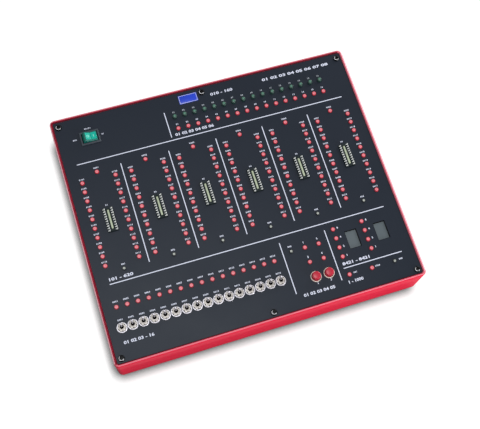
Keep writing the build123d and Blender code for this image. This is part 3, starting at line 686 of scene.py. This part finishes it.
class CONSOLE_OT_plate(Step, Operator):
    """Bare blue plate with a plain border"""
    bl_idname = "console.plate"
    bl_label = "Blue Plate"

    def build(self):
        middle = inked(*PLATE_MIDDLE)
        half = Vector((*PLATE_HALF, 0)) * MM
        edge, lift = 0.1 * MM, 0.02 * MM
        top = middle.z + PLATE_THICK * MM
        plate = block((*(middle - half).xy, middle.z - lift), (*(middle + half).xy, top), edge)
        blue = surface("Plate Blue", colours().plate_blue, 0.3)
        piece("blue_plate", plate, blue)
        border = bmesh.new()
        ring = rectangle(middle, BORDER_HALF[0] * MM, BORDER_HALF[1] * MM, top + lift)
        for start, end in zip(ring, ring[1:] + ring[:1]):
            stroke(border, start, end, BORDER_LINE * MM)
        piece("plate_border", border, print_ink())


class CONSOLE_OT_jacks(Step, Operator):
    """Red and black jack collars with a paler cup in each"""
    bl_idname = "console.jacks"
    bl_label = "Test Jacks"

    def build(self):
        sides = sizes().jack_sides
        high = (centres("red_jacks")[0].z - PANEL_TOP) / MM
        collar = [(2.3, 0), (2.3, high * 0.55), (1.9, high), (1.6, high)]
        cup = [(1.62, high - 0.02), (1.2, high + 0.05), (0.65, high + 0.02), (0.45, high - 0.3),
               (0, high - 0.3)]
        small = [(min(radius, 1.3) * 0.95, z) for radius, z in cup]
        red = surface("Jack Red", colours().jack_red, 0.3)
        pale = surface("Jack Cup", colours().jack_cup, 0.35)
        black = surface("Jack Black", colours().jack_black, 0.35, specular=0.3)
        grey = surface("Ground Cup", colours().jack_contact, 0.4)
        for name, slot, outside, form, inside in (("red_jacks", "jack_red", red, cup, pale),
                                                  ("ground_jacks", "jack_black", black, small, grey)):
            places = stands(name, PANEL_TOP)
            piece(name + "_collars", gather((turned(collar, sides), places)), outside, nodes=[name])
            piece(name + "_cups", gather((turned(form, sides), places)), inside)


class CONSOLE_OT_lamps(Step, Operator):
    """Green lamp lenses standing through the panel"""
    bl_idname = "console.lamps"
    bl_label = "Indicator Lamps"

    def build(self):
        sides = sizes().small_sides
        low, high = spots("indicator_lamps")[0]
        deep, top = (low.z - PANEL_TOP) / MM, (high.z - PANEL_TOP) / MM
        radius, flange, bend = 2.5, 2.9, 1.3
        dome = [(0, deep), (flange, deep), (flange, deep + 1.0), (radius, deep + 1.0), (radius, top - bend)]
        dome += arc(radius - bend, top - bend, bend, range(18, 91, 18))
        # A paler flat top on each lens: painted light
        lit_top = [(1.25, top - 0.02), (1.1, top + 0.03), (0.6, top + 0.06), (0, top + 0.07)]
        lens = surface("Lamp Lens", colours().lamp_green, 0.35)
        paler = surface("Lamp Painted Light", colours().lamp_lit_top_green, 0.35)
        places = stands("indicator_lamps", PANEL_TOP)
        piece("lamp_lenses", gather((turned(dome, sides), places)), lens,
              nodes=["indicator_lamps"])
        piece("lamp_painted_light", gather((turned(lit_top, sides), places)), paler)


class CONSOLE_OT_sockets(Step, Operator):
    """Chip sockets with a contact in every slot and a pale bar in the middle"""
    bl_idname = "console.sockets"
    bl_label = "Chip Sockets"

    def build(self):
        pitch, half_row, pins = 2.54 * MM, 3.81 * MM, 10
        body = surface("Socket Body", colours().socket_body, 0.45, specular=0.12)
        piece("socket_bodies", softened("ic_sockets", 0.12 * MM, 1), body,
              nodes=["ic_sockets"])
        tops = centres("ic_sockets")
        end = Vector((1.15, 0.32, 0.12)) * MM
        long = block(Vector((-1.15, -0.32, -1.2)) * MM, end)
        short = block(Vector((-0.2, -0.32, -1.2)) * MM, end)
        leaf = gather((long, [Matrix.Rotation(radians(24), 4, "Z")]),
                      (short, [Matrix.Rotation(radians(-48), 4, "Z")]))
        places = [Matrix.Translation(top + Vector((side * half_row, (row - (pins - 1) / 2) * pitch, 0)))
                  for top in tops for side in (-1, 1) for row in range(pins)]
        tin = surface("Tinned Contact", (0.9, 0.92, 0.9), 0.35)
        piece("socket_contacts", gather((leaf, places)), tin)
        bar = block(Vector((-0.95, -10.2, -6.0)) * MM, Vector((0.95, 10.2, -0.1)) * MM, 0.2 * MM)
        pale = surface("Socket Bar", colours().socket_bar, 0.4)
        places = [Matrix.Translation(top) for top in tops]
        piece("socket_bars", gather((bar, places)), pale)


# A lever's paints in their order: its neck, its foot painted near-black as shade, and its tip
NECK, SHADED_FOOT, TIP = range(3)

# Height above a lever's pivot up to which its foot is painted dark as shade, and how far it stays below the
# CAD's, in millimetres
SHADE_TOP = 6.9
LEVER_SLACK = 0.1

# Radius of a nut to its flats and of its bore, in millimetres
NUT_FLAT = 4.0
NUT_BORE = 3.0


def hex_nut(low, high):
    """A hexagon nut between two heights in metres, with its upper outer edges rounded."""
    nut = bmesh.new()
    circles = ((NUT_FLAT / cos(pi / 6), 6), (NUT_BORE, sizes().small_sides))
    faces = flat_ring(nut, circles, Matrix.Rotation(radians(30), 4, "Z"))
    raised = bmesh.ops.extrude_face_region(nut, geom=faces)["geom"]
    upper = [g for g in raised if isinstance(g, bmesh.types.BMVert)]
    bmesh.ops.translate(nut, vec=(0, 0, high - low), verts=upper)
    bmesh.ops.translate(nut, vec=(0, 0, low), verts=nut.verts)
    between = (NUT_BORE + NUT_FLAT) / 2 * MM
    outer = [e for e in nut.edges if all(v in upper and v.co.xy.length > between for v in e.verts)]
    bmesh.ops.recalc_face_normals(nut, faces=nut.faces)
    rounded(nut, outer, 0.35 * MM)
    return nut


def bushing_profile(foot, seat, top):
    """A bushing with a narrowed mouth and a thread from its top down to its nut's seat, in millimetres."""
    mouth, shank, crest, root, drop, pitch = (2.45, top - 0.3), 2.9, 2.98, 2.75, 0.12, 0.25
    profile = [mouth, (1.98, top - 0.12), (2.1, top), (root, top)]
    z = top - 0.15
    while z > seat:
        profile += [(crest, z), (root, z - drop)]
        z -= pitch
    return profile + [(shank, z), (shank, foot), (2.45, foot), mouth]


def nut_corner_shade():
    """A dark dot at each corner of a nut, flat at height 0: painted shade."""
    marks = bmesh.new()
    for turn in (radians(30 + 60 * k) for k in range(6)):
        spot = Matrix.Translation(Vector((cos(turn), sin(turn), 0)) * 3.8 * MM)
        bmesh.ops.create_circle(marks, segments=8, radius=0.56 * MM, cap_ends=True, matrix=spot)
    return marks


def lever_form(reach):
    """A lever that reaches that far above its pivot, in millimetres: ball, neck and round tip."""
    tip, neck = sizes().lever_tip / 2 / MM, sizes().lever_neck / 2 / MM
    end = reach - tip
    shape = [(0, -0.8), (1.9, -0.7), (2.1, 0), (1.6, 0.7), (neck, 1.2), (neck, SHADE_TOP),
             (neck, reach * 0.62), (tip * 0.86, reach * 0.8)]
    shape += arc(0, end, tip, range(-20, 91, 22)) + [(0, reach)]
    lever = turned(shape, sizes().lever_sides)
    # The lever's foot gets the near-black painted shade, the tip the chrome
    for face in lever.faces:
        height = face.calc_center_median().z / MM
        face.material_index = SHADED_FOOT if height < SHADE_TOP else TIP if height > end - tip else NECK
    return lever


class CONSOLE_OT_toggles(Step, Operator):
    """Toggle switches: washers, hex nuts, threaded bushings and round levers"""
    bl_idname = "console.toggles"
    bl_label = "Toggle Switches"

    def build(self):
        nickel = surface("Nickel Plate", colours().nickel, 0.32, metal=0.6)
        plain = surface("Brushed Nickel", colours().nut_metal, 0.35, metal=0.6)
        nut_low, nut_high = (corner.z for corner in spots("toggle_nuts")[0])
        places = stands("toggle_nuts", 0)
        base, seat, bore, rim = PANEL_TOP / MM, nut_low / MM, 3.05, 5.2
        washer = turned([(bore, base), (rim - 0.2, base), (rim, base + 0.2), (rim, seat - 0.2),
                         (rim - 0.2, seat), (bore, seat), (bore, base)], sizes().round_sides)
        piece("washers", gather((washer, places)), nickel, nodes=["toggle_washers"])
        piece("hex_nuts", gather((hex_nut(nut_low, nut_high), places)), plain,
              nodes=["toggle_nuts"], smooth=25)

        foot, top = (corner.z / MM for corner in spots("toggle_bushings")[0])
        bushing = turned(bushing_profile(foot, seat, top), sizes().small_sides)
        piece("bushings", gather((bushing, places)), plain, nodes=["toggle_bushings"])
        # A near-black liner inside each bushing's bore: painted shade
        bore_shade = turned([(1.97, top - 0.13), (1.97, top - 0.9), (2.35, top - 1.2), (2.35, foot)],
                        sizes().small_sides)
        piece("bushing_bore_shade", gather((bore_shade, places)), shade_black())
        # Painted shade dots at the nuts' corners
        raised = stands("toggle_nuts", nut_high + 0.02 * MM)
        piece("nut_corner_shade", gather((nut_corner_shade(), raised)), shade_black())
        for joint in frame["joints"]:
            if joint["name"].startswith("toggle_"):
                self.add_lever(joint["name"][-2:], Vector(joint["pos_m"]))

    def add_lever(self, number, pivot):
        """Stands a round lever for the CAD's, on the same pivot and with the same lean."""
        pale = surface("Lever Neck", colours().nickel, 0.3, metal=0.3, specular=0.5)
        chrome = surface("Lever Chrome", colours().nickel, 0.14, drift=0.06, metal=0.85, specular=0.5)
        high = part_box("toggle_lever_" + number)[1]
        rise = high.z - pivot.z
        lean = atan2(high.y - pivot.y - sizes().lever_tip / 2, rise)
        lever = lever_form(rise / cos(lean) / MM - LEVER_SLACK)
        matrix = Matrix.Translation(pivot) @ Matrix.Rotation(-lean, 4, "X")
        made = piece("lever_" + number + "_round", gather((lever, [matrix])), pale,
                     body="lever_" + number, nodes=["toggle_lever_" + number])
        made.data.materials.append(shade_black())
        made.data.materials.append(chrome)


# Radius of a round button cap as a share of the CAD's
CAP_SHARE = 0.95


class CONSOLE_OT_buttons(Step, Operator):
    """Red push buttons in pale rings"""
    bl_idname = "console.buttons"
    bl_label = "Push Buttons"

    def build(self):
        sides = sizes().round_sides
        red = surface("Button Red", colours().button_red, 0.25, specular=0.35)
        beige = surface("Button Ring", colours().ring_beige, 0.3)
        ring_low, ring_high = spots("button_rings")[0]
        deep, outer = (ring_high.z - ring_low.z) / MM, (ring_high.x - ring_low.x) / 2 / MM
        inner = outer - 0.6
        ring = turned([(inner, 0), (outer, 0), (outer, deep - 0.3), (outer - 0.15, deep),
                       (inner + 0.1, deep), (inner, deep - 0.2), (inner, 0)], sides)
        piece("pale_rings", gather((ring, stands("button_rings", ring_low.z))), beige,
              nodes=["button_rings"])
        for letter in "ab":
            low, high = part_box("pulse_button_" + letter)
            tall, foot = (high.z - PANEL_TOP) / MM, (low.z - PANEL_TOP) / MM
            radius = (high.x - low.x) / 2 / MM * CAP_SHARE
            cap = turned([(0, 0), (radius, 0), (radius, tall - 1.1), (radius - 0.2, tall - 0.5),
                          (radius - 0.75, tall - 0.12), (radius - 1.2, tall), (0, tall)], sides)
            stem = turned([(0, foot), (1.5, foot), (1.5, 0)], sides // 2)
            centre = Matrix.Translation(((low.x + high.x) / 2, (low.y + high.y) / 2, PANEL_TOP))
            piece("button_cap_" + letter, gather((cap, [centre]), (stem, [centre])), red,
                  body="button_" + letter, nodes=["pulse_button_" + letter])


class CONSOLE_OT_displays(Step, Operator):
    """Grey digit modules behind their openings, with dark frames and painted shade on the openings' walls"""
    bl_idname = "console.displays"
    bl_label = "Digit Displays"

    def build(self):
        paint("digit_displays", surface("Display Face", colours().display_face, 0.3, specular=0.3))
        # A dark frame on each module's face, and painted shade down the opening's walls to the panel's top
        frame_and_shade = bmesh.new()
        edge, lift, drop = 0.6 * MM, 0.03 * MM, 0.02 * MM
        for low, high in spots("digit_displays"):
            middle, half = (low + high) / 2, (high - low) / 2
            rings = (edge, high.z + lift), (0, high.z + lift), (0, PANEL_TOP - drop)
            band(frame_and_shade, [rectangle(middle, half.x - inset, half.y - inset, z) for inset, z in rings])
        dark = surface("Display Frame And Shade", (0.006, 0.006, 0.007), 0.6, specular=0.1)
        piece("display_frames_and_shade", frame_and_shade, dark)


class CONSOLE_OT_rocker(Step, Operator):
    """Mains rocker: dark bezel and clear green rocker with its marks, and painted light on the rocker's top
    """
    bl_idname = "console.rocker"
    bl_label = "Mains Rocker"

    def build(self):
        piece("rocker_bezel", softened("rocker_housing", 0.15 * MM), black_plastic(),
              nodes=["rocker_housing"])
        green = surface("Rocker Green", colours().rocker_green, 0.2)
        piece("green_rocker", softened("power_rocker", 0.2 * MM), green, body="rocker",
              nodes=["power_rocker"])
        # A brighter green laid on the rocker's two top faces: painted light
        bright = surface("Rocker Painted Light", colours().rocker_lit_green, 0.25, specular=0.1)
        pale = surface("Rocker Marks", colours().rocker_mark, 0.4, specular=0.2)
        low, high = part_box("rocker_housing")
        source = merged("power_rocker")
        level = [f for f in source.faces if f.normal.z > 0.85]
        tops, marks = bmesh.new(), bmesh.new()
        for face in sorted(level, key=lambda f: -f.calc_area())[:2]:
            middle = face.calc_center_median()
            lift = face.normal * 0.06 * MM
            tops.faces.new([tops.verts.new(middle + (v.co - middle) * 0.9 + lift) for v in face.verts])
            tilt = Vector((0, 0, 1)).rotation_difference(face.normal).to_matrix().to_4x4()
            spot = Matrix.Translation(middle + lift * 2) @ tilt
            if middle.x < (low.x + high.x) / 2:
                flat_ring(marks, [(radius, sizes().small_sides) for radius in (1.35, 0.85)], spot)
            else:
                bmesh.ops.create_grid(marks, x_segments=1, y_segments=1, size=0.5,
                                      matrix=spot @ Matrix.Diagonal((0.6 * MM, 2.6 * MM, 1, 1)))
        source.free()
        bmesh.ops.recalc_face_normals(marks, faces=marks.faces)
        piece("rocker_painted_light", tops, bright, body="rocker")
        piece("rocker_marks", marks, pale, body="rocker")


class CONSOLE_OT_inlet(Step, Operator):
    """Mains inlet at the back with its screws"""
    bl_idname = "console.inlet"
    bl_label = "Mains Inlet"

    def build(self):
        piece("inlet_body", softened("mains_inlet", 0.25 * MM), black_plastic(),
              nodes=["mains_inlet"])
        piece("inlet_prongs", softened("inlet_pins", 0.3 * MM), contact_metal(),
              nodes=["inlet_pins"])
        paint("inlet_screws", black_screw())
        paint("inlet_tabs", contact_metal())


class CONSOLE_OT_inside(Step, Operator):
    """Boards, transformer and other pieces inside the tray"""
    bl_idname = "console.inside"
    bl_label = "Inside"

    def build(self):
        lacquer = surface("Board Lacquer", (0.012, 0.075, 0.03), 0.3)
        nylon = surface("Spacer Nylon", (0.72, 0.7, 0.64), 0.45)
        steel = surface("Core Steel", (0.16, 0.16, 0.17), 0.45, drift=0.15, metal=0.4, specular=0.5)
        tape = surface("Winding Tape", (0.62, 0.4, 0.08), 0.3, specular=0.5)
        sleeve = surface("Capacitor Sleeve", (0.02, 0.03, 0.1), 0.25, specular=0.5)
        fins = surface("Heat Sink Aluminium", (0.6, 0.61, 0.62), 0.35, metal=1.0, specular=0.5)
        for names, material in (
                (("main_board", "digit_board", "power_board"), lacquer),
                (("board_spacers", "power_posts"), nylon),
                (("transformer_core", "transformer_bracket"), steel),
                (("transformer_winding",), tape),
                (("capacitors",), sleeve),
                (("heat_sink",), fins),
                (("toggle_terminals", "rocker_blades"), contact_metal()),
                (("toggle_bodies", "button_barrels", "regulator", "rectifier"), black_plastic())):
            for name in names:
                paint(name, material)


# Stage

# Lamps: name, place and width in metres, power in watts, colour. They face the aim.
LAMPS = (
    ("key", (-0.12, 0.03, 1.5), 0.65, 10.5, (0.96, 0.99, 1.0)),
    ("side", (0.9, 0.6, 0.45), 0.4, 5.0, (1.0, 1.0, 1.0)),
    ("edge", (-0.9, -0.4, 1.0), 0.15, 1.3, (1.0, 1.0, 1.0)),
    ("low", (0.75, -1.1, 0.28), 0.7, 16.0, (1.0, 1.0, 1.0)),
)
LAMP_AIM = Vector((0, 0, 0.03))

# The camera's place in metres, and its turn as an axis times an angle in radians
CAMERA_PLACE = (-0.12120, -0.27581, 0.85054)
CAMERA_TURN = Vector((2.80758, -0.42708, 0.18761))

# Strength of the world's light on the object. Where the world itself is seen, its strength is 1
WORLD_LIGHT = 0.26

# The floor's glow where it is seen, how far its shade reaches from the object and which way it looks for it
FLOOR_GLOW = 0.85
SHADE_REACH = 12 * MM
SHADE_LEAN = (0.6, 0.1, 0.79)


def calculated(tree, operation, first, second):
    """The result of a Math node. The second value is a socket or a plain number."""
    node = tree.nodes.new("ShaderNodeMath")
    node.operation = operation
    tree.links.new(first, node.inputs[0])
    if isinstance(second, float):
        node.inputs[1].default_value = second
    else:
        tree.links.new(second, node.inputs[1])
    return node.outputs[0]


def background_rays(tree):
    """A socket that is 1 for what the camera, metal and glass see, and 0 for the light on the object."""
    rays = tree.nodes.new("ShaderNodeLightPath").outputs
    seen = calculated(tree, "MAXIMUM", rays["Is Camera Ray"], rays["Is Glossy Ray"])
    return calculated(tree, "MAXIMUM", seen, rays["Is Transmission Ray"])


def floor_paint():
    """A pale floor that glows white where it is seen, with a soft shade close to the object."""
    material = bpy.data.materials.new("Pale Floor")
    material.use_nodes = True
    tree = material.node_tree
    nodes, link = tree.nodes, tree.links.new
    shader = nodes["Principled BSDF"]
    set_inputs(shader, {"Roughness": 0.9, "Specular IOR Level": 0.0, "Emission Color": (1, 1, 1, 1)})
    near = nodes.new("ShaderNodeAmbientOcclusion")
    near.samples = 16
    set_inputs(near, {"Distance": SHADE_REACH})
    lean = nodes.new("ShaderNodeCombineXYZ")
    set_inputs(lean, dict(zip("XYZ", SHADE_LEAN)))
    link(lean.outputs["Vector"], near.inputs["Normal"])
    depth = nodes.new("ShaderNodeMapRange")
    set_inputs(depth, {"From Min": 0.52, "From Max": 0.97, "To Min": 0.08})
    link(near.outputs["AO"], depth.inputs["Value"])
    shade = depth.outputs["Result"]
    glow = calculated(tree, "MULTIPLY", background_rays(tree), shade)
    link(calculated(tree, "MULTIPLY", glow, FLOOR_GLOW), shader.inputs["Emission Strength"])
    link(calculated(tree, "MULTIPLY", shade, colours().floor_white[0]), shader.inputs["Base Color"])
    return material


class CONSOLE_OT_stage(Step, Operator):
    """Pale floor, soft light and the camera of the photograph"""
    bl_idname = "console.stage"
    bl_label = "Stage"

    def build(self):
        scene = bpy.context.scene
        scene.view_settings.view_transform = "Standard"
        self.add_floor()
        self.add_light(scene)
        self.add_camera(scene)

    def add_floor(self):
        """A level floor, six metres to each side."""
        ground = bmesh.new()
        bmesh.ops.create_grid(ground, x_segments=1, y_segments=1, size=6)
        floor = added("floor", mesh_data("floor", ground))
        floor.data.materials.append(floor_paint())

    def add_light(self, scene):
        """A plain white world and four square lamps."""
        world = bpy.data.worlds.new("Studio")
        scene.world = world
        world.use_nodes = True
        tree = world.node_tree
        back = tree.nodes["Background"]
        set_inputs(back, {"Color": (1, 1, 1, 1)})
        level = tree.nodes.new("ShaderNodeMapRange")
        set_inputs(level, {"To Min": WORLD_LIGHT, "To Max": 1.0})
        tree.links.new(background_rays(tree), level.inputs["Value"])
        tree.links.new(level.outputs["Result"], back.inputs["Strength"])
        for name, place, size, power, tint in LAMPS:
            lamp = bpy.data.lights.new(name, "AREA")
            lamp.shape, lamp.size, lamp.energy, lamp.color = "SQUARE", size, power, tint
            holder = added(name, lamp)
            holder.location = place
            holder.rotation_euler = (LAMP_AIM - Vector(place)).to_track_quat("-Z", "Y").to_euler()

    def add_camera(self, scene):
        """The photograph's view."""
        to_view = Quaternion(CAMERA_TURN.normalized(), CAMERA_TURN.length).to_matrix()
        looking = to_view.transposed() @ Matrix.Diagonal((1, -1, -1))
        data = bpy.data.cameras.new("camera")
        data.sensor_fit = "HORIZONTAL"
        data.sensor_width = 36
        data.lens = 62.91
        data.shift_x = -0.0680
        data.shift_y = 0.0448
        data.clip_start = 0.01
        camera = added("camera", data)
        camera.matrix_world = Matrix.Translation(CAMERA_PLACE) @ looking.to_4x4()
        scene.camera = camera


class CONSOLE_PT_pieces(Panel):
    """Lists every piece of the console and its settings"""
    bl_label = "Training Console"
    bl_idname = "CONSOLE_PT_pieces"
    bl_space_type = "VIEW_3D"
    bl_region_type = "UI"
    bl_category = "Console"

    def draw(self, context):
        layout = self.layout
        for operator in OPERATORS:
            layout.operator(operator.bl_idname)
        for settings in (colours(), sizes()):
            box = layout.box()
            for name in settings.bl_rna.properties.keys():
                if name not in ("rna_type", "name"):
                    box.prop(settings, name)


OPERATORS = (
    CONSOLE_OT_case, CONSOLE_OT_panel, CONSOLE_OT_print, CONSOLE_OT_plate, CONSOLE_OT_jacks,
    CONSOLE_OT_lamps, CONSOLE_OT_sockets, CONSOLE_OT_toggles, CONSOLE_OT_buttons, CONSOLE_OT_displays,
    CONSOLE_OT_rocker, CONSOLE_OT_inlet, CONSOLE_OT_inside, CONSOLE_OT_stage,
)
CLASSES = (ConsoleColours, ConsoleSizes, *OPERATORS, CONSOLE_PT_pieces)


def register():
    for made in CLASSES:
        bpy.utils.register_class(made)
    bpy.types.Scene.console_colours = PointerProperty(type=ConsoleColours)
    bpy.types.Scene.console_sizes = PointerProperty(type=ConsoleSizes)


def unregister():
    del bpy.types.Scene.console_sizes
    del bpy.types.Scene.console_colours
    for made in reversed(CLASSES):
        bpy.utils.unregister_class(made)


def main():
    register()
    for operator in OPERATORS:
        group, name = operator.bl_idname.split(".")
        getattr(getattr(bpy.ops, group), name)()


if __name__ == "__main__":
    main()
